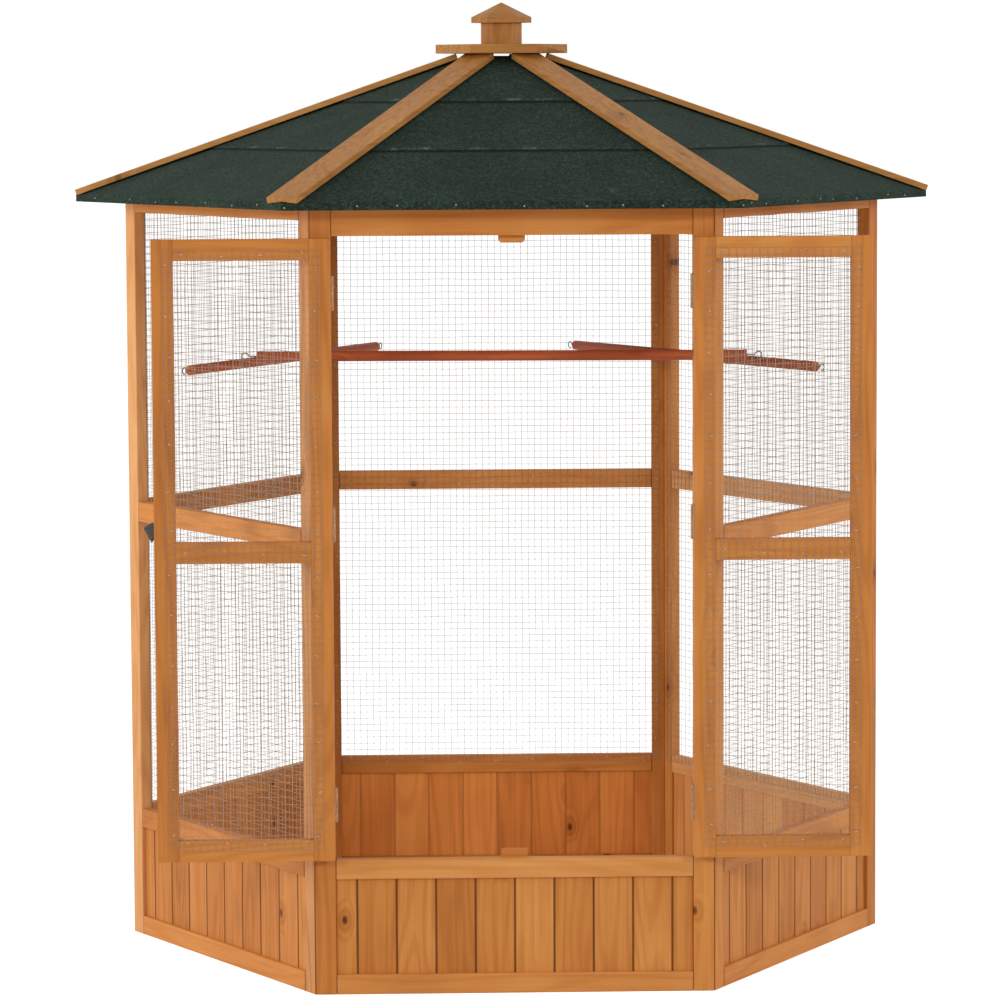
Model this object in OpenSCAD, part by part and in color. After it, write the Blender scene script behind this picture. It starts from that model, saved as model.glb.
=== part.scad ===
// Hexagonal flight cage: six framed wall panels, two mesh doors, felted roof, finial and perches.
// Millimetres. Z is up from the ground, the doorway faces -Y, and both doors stand open.

/* [Walls] */
// Radius of the outer wall corners, equal to one wall's width
wall_r = 680; // [620:1:740]
// Height of the wall panels
wall_h = 1364; // [1280:1:1450]
// Thickness of all frame timber
frame_t = 20; // [17:0.5:24]
// Face width of the wall stiles
stile_w = 36; // [30:0.5:42]
// Height of the boarded kick part
kick_h = 232; // [190:1:270]
// Face width of the two kick rails
kick_rail_w = 34; // [28:0.5:40]
// Face width of the mid rails
mid_rail_w = 36; // [28:0.5:44]
// Height of the mid rails' top edge
mid_rail_z = 792; // [700:1:880]
// Face width of the top rails
top_rail_w = 50; // [42:0.5:58]
// Height of the header over the doorway
header_h = 76; // [66:1:90]
// Cover width of one kick slat
slat_w = 67; // [56:0.5:80]
// Thickness of a kick slat
slat_t = 8; // [6:0.5:10]
// Depth of the slats behind the frame's outer face
slat_recess = 7; // [5:0.5:9]
// Chamfer on the slat edges
slat_chamfer = 1.5; // [0.8:0.1:2.2]

/* [Mesh] */
// Thickness of a mesh wire
wire = 1.2; // [0.8:0.1:1.6]
// Wire gaps across a wall's mesh
mesh_cols = 10; // [8:1:12]
// Wire gaps up a wall's mesh
mesh_rows = 30; // [26:1:32]
// Overlap of the mesh on the stiles
mesh_lap = 14; // [10:0.5:18]
// Overlap of the mesh on the kick rail
mesh_lap_low = 12; // [8:0.5:18]
// Overlap of the mesh on the top rail
mesh_lap_top = 24; // [16:0.5:30]
// Wire gaps across a door's mesh
door_cols = 4; // [3:1:6]
// Wire gaps up a door's mesh
door_rows = 26; // [22:1:30]

/* [Doors] */
// Gap above and below a door
door_gap = 3; // [2:0.1:5]
// Gap between the two doors
centre_gap = 3; // [2.5:0.1:5]
// Play between a closed door and its stops
stop_play = 0.5; // [0.3:0.1:1]
// Face width of the door stiles
door_stile_w = 36; // [30:0.5:42]
// Face width of the door rails
door_rail_w = 36; // [30:0.5:42]
// Height of the door mid rails' top edge
door_mid_z = 777; // [700:1:850]
// Bare margin round a door's mesh
door_margin = 18; // [14:0.5:22]
// Width of a door stop
stop_w = 45; // [36:1:54]
// Thickness of a door stop
stop_t = 10; // [8:0.5:14]
// Length of a stop that shows in the doorway
stop_show = 13; // [10:0.5:15]
// Length of a stop on its rail
stop_seat = 24; // [18:0.5:28]
// Corner cut of the upper door stop
stop_cut = 6; // [4:0.5:8]

/* [Hinges] */
// Height of a hinge
hinge_h = 58; // [48:1:70]
// Diameter of a hinge knuckle
knuckle_d = 7; // [6:0.1:8]
// Diameter of a hinge pin
pin_d = 3; // [2.4:0.1:3.4]
// Radial play of a hinge pin
pin_play = 0.06; // [0.04:0.01:0.1]
// Thickness of a hinge leaf
leaf_t = 1.4; // [1:0.1:1.6]
// Width of a hinge leaf
leaf_w = 17; // [12:0.5:18]
// Play between two folded leaves
leaf_play = 0.4; // [0.3:0.1:0.8]
// End distance of the outer hinges
hinge_inset = 92; // [70:1:120]
// Rise of the middle hinge above the door's middle
hinge_mid = 44; // [20:1:70]

/* [Latch] */
// Thickness of the turn button
button_t = 2; // [1.5:0.1:3]
// Length of the turn button's tail, of its wings, of its point and of its drop
button_tail = 9; // [6:0.5:12]
button_wing = 14; // [10:0.5:16]
button_tip = 28; // [20:0.5:34]
button_drop = 26; // [20:0.5:32]
// Half height of the turn button's back
button_back = 9; // [6:0.5:11]
// Pivot distance from the door's free edge
button_inset = 9; // [8:0.5:12]
// Pivot height above the door mid rail
button_rise = 24; // [12:1:40]
// Diameter of the pivot screw
screw_d = 3.2; // [2.6:0.1:3.6]
// Diameter of the screw head
screw_head_d = 8; // [6.5:0.1:9]
// Length of the pivot screw in the stile
screw_len = 12; // [8:0.5:14]

/* [Roof] */
// Overhang of the roof past the wall corners
roof_overhang = 88; // [60:1:110]
// Pitch of a roof face in degrees
roof_pitch = 22; // [18:0.05:25]
// Thickness of the roof boards
deck_t = 9; // [7:0.5:12]
// Thickness of the felt
felt_t = 2; // [1.5:0.1:2.5]
// Height of a felt lap edge
felt_lap = 4; // [3.2:0.1:5]
// Half width of the opening under the finial plate
roof_open = 58; // [50:0.5:62]
// Width of a hip batten
batten_w = 58; // [50:0.5:66]
// Edge thickness of a hip batten
batten_t = 10.5; // [8:0.1:13]
// Depth of the hollow under a hip batten
batten_hollow = 3.2; // [2:0.1:4]
// Set back of a batten's end from the roof corner
batten_back = 2; // [0:0.5:10]
// Radius of the battens' upper ends
batten_top = 80; // [74:0.5:88]

/* [Finial] */
// Corner radius of the finial plate
plate_r = 119; // [108:0.5:130]
// Thickness of the finial plate
plate_t = 16; // [12:0.5:20]
// Corner radius of the finial neck
neck_r = 37; // [32:0.5:42]
// Height of the finial neck
neck_h = 38.5; // [30:0.5:46]
// Corner radius of the finial cap
cap_r = 54.5; // [48:0.5:60]
// Height of the cap's rim
cap_rim = 10; // [8:0.5:13]
// Rise of the cap's slopes
cap_rise = 27; // [20:0.5:34]

/* [Perches] */
// Diameter of a perch
perch_d = 18; // [14:0.5:22]
// Distance from the mesh to a perch's end
perch_end = 20; // [17:0.5:24]
// Mesh wire that the two side perches hang on
side_row = 22; // [18:1:24]
// Mesh wire that the front perch hangs on
front_row = 23; // [19:1:25]
// Gaps of the real mesh, five to a drawn column, that the hooks of the left perch pass through
left_front_gap = 12; // [5:1:20]
left_back_gap = 42; // [35:1:46]
// Gaps that the hooks of the right perch pass through
right_front_gap = 36; // [30:1:44]
right_back_gap = 13; // [4:1:20]
// Gaps that the hooks of the front perch pass through
front_left_gap = 30; // [24:1:38]
front_right_gap = 15; // [10:1:24]
// Radius of a perch hook
hook_r = 6; // [5.5:0.1:7]
// Diameter of a hook's wire
hook_d = 2; // [1.6:0.1:2.4]
// Length of a hook's shank in the perch
hook_len = 12; // [8:0.5:16]

/* [Hidden] */
$fn = 48;
layer_gap = 0.05;
seat = 0.1;
apo = wall_r * cos(30);
half = wall_r / 2;
mitre = frame_t * tan(30);
mitre_seam = 0.03;
in_w = wall_r - 2 * stile_w;
header_z = wall_h - header_h;
top_z = wall_h - top_rail_w;
slat_n = ceil(in_w / 2 / slat_w) - 1;
net_w = in_w + 2 * mesh_lap;
net_z0 = kick_h - mesh_lap_low;
net_z1 = top_z + mesh_lap_top;
net_t = 2 * wire + layer_gap;
hinge_gap = 2 * leaf_t + leaf_play;
door_z0 = kick_h + door_gap;
door_z1 = header_z - door_gap;
door_t = frame_t - stop_play;
door_out = in_w / 2 - hinge_gap;
door_in = centre_gap / 2;
pin_x = in_w / 2 - hinge_gap / 2;
pin_y = -knuckle_d / 2 - 0.5;
hinge_zs = [door_z0 + hinge_inset, (door_z0 + door_z1) / 2 + hinge_mid, door_z1 - hinge_inset];
button_gap = 0.3;
button_x = door_in + button_inset;
button_z = door_mid_z + button_rise;
tanp = tan(roof_pitch);
roof_r = wall_r + roof_overhang;
roof_apo = roof_r * cos(30);
hip = atan(tanp * cos(30));
plate_z = ridge(batten_top) + (batten_t - batten_hollow) * cos(hip) + seat;
net_mid = frame_t + 1.5 * wire + layer_gap;
hook_drop = hook_r - hook_d / 2 - wire / 2 - 0.3;
side_z = row_z(side_row) - hook_drop;
front_z = row_z(front_row) - hook_drop;
left_a = on_net(5, gap_x(left_front_gap));
left_b = on_net(3, gap_x(left_back_gap));
right_a = on_net(1, gap_x(right_front_gap));
right_b = on_net(3, gap_x(right_back_gap));
front_a = on_net(5, gap_x(front_left_gap));
front_b = on_net(1, gap_x(front_right_gap));

// height of the roof boards' underside, of their top, and of the ridge line under a batten
function under(r) = wall_h + seat + (apo - r) * tanp;
function deck_top(r) = under(r) + deck_t / cos(roof_pitch);
function ridge(r) = deck_top(r * cos(30)) + felt_lap + 0.3;
// middle of a gap of the real mesh, height of a mesh wire, and a point of a wall's mesh from above
function gap_x(j) = ((j + 0.5) / 5 - mesh_cols / 2) * (net_w - wire) / mesh_cols;
function row_z(i) = net_z0 + wire / 2 + i * (net_z1 - net_z0 - wire) / mesh_rows;
function on_net(k, x) = [x * cos(60 * k) + (apo - net_mid) * sin(60 * k),
                         x * sin(60 * k) - (apo - net_mid) * cos(60 * k)];
function hexagon(r) = [for (i = [0:5]) [r * cos(60 * i), r * sin(60 * i)]];

// a wall's own frame: x along the wall, y inward from its outer face, z up
module wall(k) rotate([0, 0, 60 * k]) translate([0, -apo, 0]) children();

module bar(xa, xb, y0, y1, z0, z1)
  translate([min(xa, xb), y0, z0]) cube([abs(xb - xa), y1 - y0, z1 - z0]);

// walls
module stiles(k) color("#C8824A") wall(k)
  for (s = [-1, 1])
    linear_extrude(height = wall_h)
      polygon([[s * (half - mitre_seam), 0], [s * (half - stile_w), 0],
               [s * (half - stile_w), frame_t], [s * (half - mitre - mitre_seam), frame_t]]);

module rail(z, h) bar(-in_w / 2, in_w / 2, 0, frame_t, z, z + h);

module kick_rails() {
  rail(0, kick_rail_w);
  rail(kick_h - kick_rail_w, kick_rail_w);
}

module rails(k) color("#C07A40") wall(k) {
  kick_rails();
  rail(mid_rail_z - mid_rail_w, mid_rail_w);
  rail(top_z, top_rail_w);
}

module slat(x0, x1) {
  c = min(slat_chamfer, (x1 - x0) / 3);
  translate([0, 0, kick_rail_w]) linear_extrude(height = kick_h - 2 * kick_rail_w)
    polygon([[x0, slat_recess + c], [x0 + c, slat_recess], [x1 - c, slat_recess],
             [x1, slat_recess + c], [x1, slat_recess + slat_t], [x0, slat_recess + slat_t]]);
}

module slats(k) color("#CC8449") wall(k) {
  slat(-in_w / 2, -slat_n * slat_w);
  for (i = [-slat_n : slat_n - 1]) slat(i * slat_w, (i + 1) * slat_w);
  slat(slat_n * slat_w, in_w / 2);
}

// welded mesh: one layer of upright wires, one of level wires, each with its edge wires
module upright_wires(w, h, n) {
  p = (w - wire) / n;
  difference() {
    square([w, h]);
    for (i = [0 : n - 1]) translate([i * p + wire, wire]) square([p - wire, h - 2 * wire]);
  }
}

module level_wires(w, h, n) {
  p = (h - wire) / n;
  difference() {
    square([w, h]);
    for (i = [0 : n - 1]) translate([wire, i * p + wire]) square([w - 2 * wire, p - wire]);
  }
}

module net(x0, y0, z0, w, h, cols, rows) color("#9AA0A2") {
  translate([x0, y0 + wire, z0]) rotate([90, 0, 0])
    linear_extrude(height = wire) upright_wires(w, h, cols);
  translate([x0, y0 + net_t, z0]) rotate([90, 0, 0])
    linear_extrude(height = wire) level_wires(w, h, rows);
}

module wall_mesh(k) wall(k)
  net(-net_w / 2, frame_t, net_z0, net_w, net_z1 - net_z0, mesh_cols, mesh_rows);

// front wall
module front_header() color("#C8824A") wall(0) rail(header_z, header_h);
module front_kick_rails() color("#C07A40") wall(0) kick_rails();

module stop_shape() difference() {
  square([stop_w, stop_seat + stop_show]);
  for (x = [0, stop_w]) translate([x, 0]) rotate(45) square(stop_cut, center = true);
}

module door_stops() color("#C98A4C") wall(0) {
  translate([-stop_w / 2, frame_t + stop_t, header_z - stop_show]) rotate([90, 0, 0])
    linear_extrude(height = stop_t) stop_shape();
  bar(-stop_w / 2, stop_w / 2, frame_t, frame_t + stop_t, kick_h - stop_seat, kick_h + stop_show);
}

// doors are drawn shut and turned half round their pins
module opened(s) wall(0)
  translate([s * pin_x, pin_y, 0]) rotate([0, 0, 180]) translate([-s * pin_x, -pin_y, 0]) children();

module door_stiles(s) color("#C8824A") opened(s) {
  bar(s * door_out, s * (door_out - door_stile_w), 0, door_t, door_z0, door_z1);
  difference() {
    bar(s * door_in, s * (door_in + door_stile_w), 0, door_t, door_z0, door_z1);
    if (s < 0) translate([s * button_x, -1, button_z]) rotate([-90, 0, 0])
      cylinder(h = screw_len + 1.3, d = screw_d + 0.1);
  }
}

module door_rail(s, z)
  bar(s * (door_out - door_stile_w), s * (door_in + door_stile_w), 0, door_t, z, z + door_rail_w);

module door_rails(s) color("#C07A40") opened(s) {
  door_rail(s, door_z0);
  door_rail(s, door_mid_z - door_rail_w);
  door_rail(s, door_z1 - door_rail_w);
}

module door_mesh(s) opened(s) {
  w = door_out - door_in - 2 * door_margin;
  net(s * (door_out + door_in) / 2 - w / 2, door_t, door_z0 + door_margin, w,
      door_z1 - door_z0 - 2 * door_margin, door_cols, door_rows);
}

// butt hinges: outer knuckles belong to the post leaf, the middle one to the door leaf
module knuckle(s, z0, z1, side) {
  translate([s * pin_x, pin_y, z0]) cylinder(h = z1 - z0, d = knuckle_d);
  xa = side == 0 ? in_w / 2 : in_w / 2 - hinge_gap;
  xb = side == 0 ? in_w / 2 - leaf_t : in_w / 2 - hinge_gap + leaf_t;
  bar(s * xa, s * xb, pin_y + pin_d / 2 + 0.4, 0.5, z0, z1);
}

module leaf(s, z, side) difference() {
  union() {
    xa = side == 0 ? in_w / 2 : in_w / 2 - hinge_gap;
    xb = side == 0 ? in_w / 2 - leaf_t : in_w / 2 - hinge_gap + leaf_t;
    bar(s * xa, s * xb, 0, leaf_w, z - hinge_h / 2, z + hinge_h / 2);
    if (side == 0) {
      knuckle(s, z - hinge_h / 2, z - hinge_h / 6 - 0.15, side);
      knuckle(s, z + hinge_h / 6 + 0.15, z + hinge_h / 2, side);
    } else knuckle(s, z - hinge_h / 6 + 0.15, z + hinge_h / 6 - 0.15, side);
  }
  translate([s * pin_x, pin_y, z - hinge_h / 2 - 1]) cylinder(h = hinge_h + 2, d = pin_d + 2 * pin_play);
}

module post_leaves(s) color("#8C8A86") wall(0) for (z = hinge_zs) leaf(s, z, 0);
module door_leaves(s) color("#8C8A86") opened(s) for (z = hinge_zs) leaf(s, z, 1);
module hinge_pins(s) color("#77756F") wall(0)
  for (z = hinge_zs) translate([s * pin_x, pin_y, z - hinge_h / 2]) cylinder(h = hinge_h, d = pin_d);

// latch on the left door's outer face
module turn_button() color("#3A3C3E") opened(-1)
  translate([-button_x, -button_gap, button_z]) rotate([90, 0, 0]) difference() {
    linear_extrude(height = button_t) polygon([[-button_tail, button_back / 2], [button_wing, button_back],
      [button_tip, 0], [button_wing, -button_drop]]);
    translate([0, 0, -1]) cylinder(h = button_t + 2, d = screw_d + 0.12);
  }

module turn_button_screw() color("#5A5B5C") opened(-1)
  translate([-button_x, 0, button_z]) rotate([90, 0, 0]) {
    translate([0, 0, -screw_len]) cylinder(h = screw_len + button_gap + button_t + 1, d = screw_d);
    translate([0, 0, button_gap + button_t + 0.2]) cylinder(h = 2, d = screw_head_d);
  }

// roof faces: a profile swept along the eave and cut to its sixth
module roof_face(k, pts) rotate([0, 0, 60 * k]) intersection() {
  rotate([90, 0, 90]) linear_extrude(height = 2 * roof_r, center = true)
    polygon([for (p = pts) [-p[0], p[1]]]);
  linear_extrude(height = 2 * wall_h)
    polygon([[0, 0], [-roof_r, -roof_r / tan(30)], [roof_r, -roof_r / tan(30)]]);
}

module roof_boards(k) color("#B87A42") {
  r = roof_apo - felt_t;
  roof_face(k, [[r, under(r)], [r, deck_top(r)],
                [roof_open, deck_top(roof_open)], [roof_open, under(roof_open)]]);
}

module roof_felt(k) color("#2F4438") {
  r = roof_apo - felt_t;
  span = (roof_apo - roof_open) / 3;
  a = roof_apo - span;
  b = roof_apo - 2 * span;
  roof_face(k, [[roof_apo, under(roof_apo)], [roof_apo, deck_top(roof_apo) + felt_lap],
                [a, deck_top(a) + felt_t], [a, deck_top(a) + felt_lap],
                [b, deck_top(b) + felt_t], [b, deck_top(b) + felt_lap],
                [roof_open, deck_top(roof_open) + felt_t], [roof_open, deck_top(roof_open)],
                [r, deck_top(r)], [r, under(roof_apo)]]);
}

module hip_battens() color("#B87A42") for (c = [0:5])
  rotate([0, 0, 60 * c]) translate([batten_top, 0, ridge(batten_top)]) rotate([0, 90 + hip, 0])
    linear_extrude(height = (roof_r - batten_back - batten_top) / cos(hip))
      polygon([[batten_hollow - batten_t, -batten_w / 2], [batten_hollow - batten_t, batten_w / 2],
               [batten_hollow, batten_w / 2], [0, 0], [batten_hollow, -batten_w / 2]]);

// finial
module finial_plate() color("#C07A40") translate([0, 0, plate_z])
  linear_extrude(height = plate_t) polygon(hexagon(plate_r));
module finial_neck() color("#C8824A") translate([0, 0, plate_z + plate_t])
  linear_extrude(height = neck_h) polygon(hexagon(neck_r));
module finial_cap() color("#C07A40") translate([0, 0, plate_z + plate_t + neck_h])
  polyhedron(
    points = concat([for (p = hexagon(cap_r)) [p[0], p[1], 0]],
                    [for (p = hexagon(cap_r)) [p[0], p[1], cap_rim]], [[0, 0, cap_rim + cap_rise]]),
    faces = concat([[0, 1, 2, 3, 4, 5]],
                   [for (i = [0:5]) [i, i + 6, (i + 1) % 6 + 6, (i + 1) % 6]],
                   [for (i = [0:5]) [i + 6, 12, (i + 1) % 6 + 6]]));

// perches hang on mesh wires by a screw hook at each end
module along(a, b, z) translate([a[0], a[1], z])
  rotate([0, 0, atan2(b[1] - a[1], b[0] - a[0])]) children();

module perch(a, b, z) color("#8E4427") along(a, b, z) {
  n = norm(b - a);
  difference() {
    translate([perch_end, 0, 0]) rotate([0, 90, 0]) cylinder(h = n - 2 * perch_end, d = perch_d);
    for (x = [perch_end - 1, n - perch_end - hook_len - 0.3])
      translate([x, 0, 0]) rotate([0, 90, 0]) cylinder(h = hook_len + 1.3, d = hook_d + 0.1);
  }
}

module hook() {
  rotate([90, 0, 0]) rotate_extrude(angle = 300) translate([hook_r, 0]) circle(d = hook_d, $fn = 24);
  translate([hook_r, 0, 0]) rotate([0, 90, 0]) cylinder(h = perch_end + hook_len - hook_r, d = hook_d);
}

module hooks(a, b, z) {
  along(a, b, z) hook();
  along(b, a, z) hook();
}

module perch_hooks() color("#9C9A92") {
  hooks(front_a, front_b, front_z);
  hooks(left_a, left_b, side_z);
  hooks(right_a, right_b, side_z);
}

stiles(0);  // front_stiles
front_header();
front_kick_rails();
slats(0);  // front_slats
door_stops();
stiles(1);  // front_right_stiles
rails(1);  // front_right_rails
slats(1);  // front_right_slats
wall_mesh(1);  // front_right_mesh
stiles(2);  // back_right_stiles
rails(2);  // back_right_rails
slats(2);  // back_right_slats
wall_mesh(2);  // back_right_mesh
stiles(3);  // back_stiles
rails(3);  // back_rails
slats(3);  // back_slats
wall_mesh(3);  // back_mesh
stiles(4);  // back_left_stiles
rails(4);  // back_left_rails
slats(4);  // back_left_slats
wall_mesh(4);  // back_left_mesh
stiles(5);  // front_left_stiles
rails(5);  // front_left_rails
slats(5);  // front_left_slats
wall_mesh(5);  // front_left_mesh
door_stiles(-1);  // left_door_stiles
door_rails(-1);  // left_door_rails
door_mesh(-1);  // left_door_mesh
door_stiles(1);  // right_door_stiles
door_rails(1);  // right_door_rails
door_mesh(1);  // right_door_mesh
post_leaves(-1);  // left_post_leaves
door_leaves(-1);  // left_door_leaves
hinge_pins(-1);  // left_hinge_pins
post_leaves(1);  // right_post_leaves
door_leaves(1);  // right_door_leaves
hinge_pins(1);  // right_hinge_pins
turn_button();
turn_button_screw();
roof_boards(0);  // roof_boards_front
roof_boards(1);  // roof_boards_front_right
roof_boards(2);  // roof_boards_back_right
roof_boards(3);  // roof_boards_back
roof_boards(4);  // roof_boards_back_left
roof_boards(5);  // roof_boards_front_left
roof_felt(0);  // roof_felt_front
roof_felt(1);  // roof_felt_front_right
roof_felt(2);  // roof_felt_back_right
roof_felt(3);  // roof_felt_back
roof_felt(4);  // roof_felt_back_left
roof_felt(5);  // roof_felt_front_left
hip_battens();
finial_plate();
finial_neck();
finial_cap();
perch(front_a, front_b, front_z);  // front_perch
perch(left_a, left_b, side_z);  // left_perch
perch(right_a, right_b, side_z);  // right_perch
perch_hooks();
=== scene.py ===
# Flight bird cage: a free-standing hexagonal aviary of stained softwood, with wire walls,
# two open doors, a felted roof under a small finial, and three perches.
import math
import random

import bmesh
import bpy
from mathutils import Matrix, Quaternion, Vector


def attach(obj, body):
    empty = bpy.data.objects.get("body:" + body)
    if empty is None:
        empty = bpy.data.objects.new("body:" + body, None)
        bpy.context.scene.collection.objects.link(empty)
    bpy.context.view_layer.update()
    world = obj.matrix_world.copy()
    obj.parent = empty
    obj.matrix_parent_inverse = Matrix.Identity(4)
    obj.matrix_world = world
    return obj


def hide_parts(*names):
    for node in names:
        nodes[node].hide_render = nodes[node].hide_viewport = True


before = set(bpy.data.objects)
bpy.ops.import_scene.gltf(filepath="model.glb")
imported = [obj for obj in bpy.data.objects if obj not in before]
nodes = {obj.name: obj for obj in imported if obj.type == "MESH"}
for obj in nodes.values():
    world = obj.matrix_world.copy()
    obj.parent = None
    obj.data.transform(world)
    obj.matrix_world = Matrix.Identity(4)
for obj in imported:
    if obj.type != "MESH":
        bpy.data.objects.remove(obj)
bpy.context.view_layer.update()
scene = bpy.context.scene
scene.view_settings.view_transform = "Standard"

# Camera: about eight metres in front of the doorway, a little to its left, with its eye a little
# above the eaves and a long lens, so that the two front corners and the two far corners all show.
EYE = Vector((-0.2178, -8.0075, 1.5437))
AIM = Vector((-0.0067, 0.0, 0.7872))
ROLL = math.radians(-0.291)
SENSOR_MM = 36
LENS_MM = 159.349
SIGHT = 80
camera = bpy.data.objects.new("camera", bpy.data.cameras.new("camera"))
scene.collection.objects.link(camera)
camera.data.sensor_width = SENSOR_MM
camera.data.lens = LENS_MM
camera.data.clip_end = SIGHT
camera.location = EYE
camera.rotation_euler = ((AIM - EYE).to_track_quat("-Z", "Y") @ Quaternion((0, 0, 1), ROLL)).to_euler()
scene.camera = camera

# Wall stiles: planed softwood uprights, two to a panel, mitred along the cage's six corners.
# They are dipped in a honey-coloured stain that sinks in unevenly, so the late growth shows as
# darker lines along the board, with a few brown knots and a low sheen.
WALLS = ["front", "front_right", "back_right", "back", "back_left", "front_left"]
TURN = {wall: math.radians(60 * i) for i, wall in enumerate(WALLS)}
# sizes of the wood's pattern in metres: across a board, through it and along its grain
RING = (0.0625, 0.0625, 0.66667)
FIBRE = (0.0052632, 0.0052632, 0.2)
BLOTCH = 0.2
# how far apart knots may lie across and along a board, on a flat pattern
KNOT_GAP = (0.13333, 0.21739, 1.0)
# a knot's heart, the flame of stain round it and the bend it gives the rings, as shares of that gap
HEART = (0.05, 0.015)
FLAME = (0.16, 0.03)
BEND = 0.2
FLAME_DEPTH = 0.3
BEND_DEPTH = 0.2
# how many radians of rings go by as the slow noise runs through its range
RING_PHASE = 60.0
# each board is cut from its own place in the pattern, up to this far along and across
CUT_ALONG = 9.0
CUT_ACROSS = 5.0
# added to the seed on the far one of two opposite walls, so that its boards have tones of their own
FAR_SIDE = 17.0
# how deep the stain is on bare wood, and what late growth, fibres, blotches and a board's tone add
BARE = -0.28
LATE_DEPTH = 0.15
FIBRE_DEPTH = 0.44
BLOTCH_DEPTH = 0.62
TONE_DEPTH = 0.40
# where the lines of painted shade begin and are full, measured back from a board's edge and
# from a joint, and how dark the one along a joint is
GROOVE_SHADE_LINE = (0.0028, 0.0014)
SEAM_SHADE_LINE = (0.0022, 0.0012)
SEAM_SHADE = 0.7
SHEEN = 0.22
SATIN = (0.48, 0.64)
RELIEF = 0.0012


def linear(code):
    values = [int(code[i:i + 2], 16) / 255 for i in (1, 3, 5)]
    return [v / 12.92 if v <= 0.04045 else ((v + 0.055) / 1.055) ** 2.4 for v in values] + [1]


def add(tree, kind, feeds=None, **settings):
    node = tree.nodes.new(kind)
    for label, value in settings.items():
        setattr(node, label, value)
    for socket, value in (feeds or {}).items():
        if isinstance(value, bpy.types.NodeSocket):
            tree.links.new(value, node.inputs[socket])
        else:
            node.inputs[socket].default_value = value
    return node


def new_material(name):
    mat = bpy.data.materials.new(name)
    mat.use_nodes = True
    tree = mat.node_tree
    spot = add(tree, "ShaderNodeTexCoord").outputs["Object"]
    return mat, tree, tree.nodes["Principled BSDF"], spot


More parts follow.
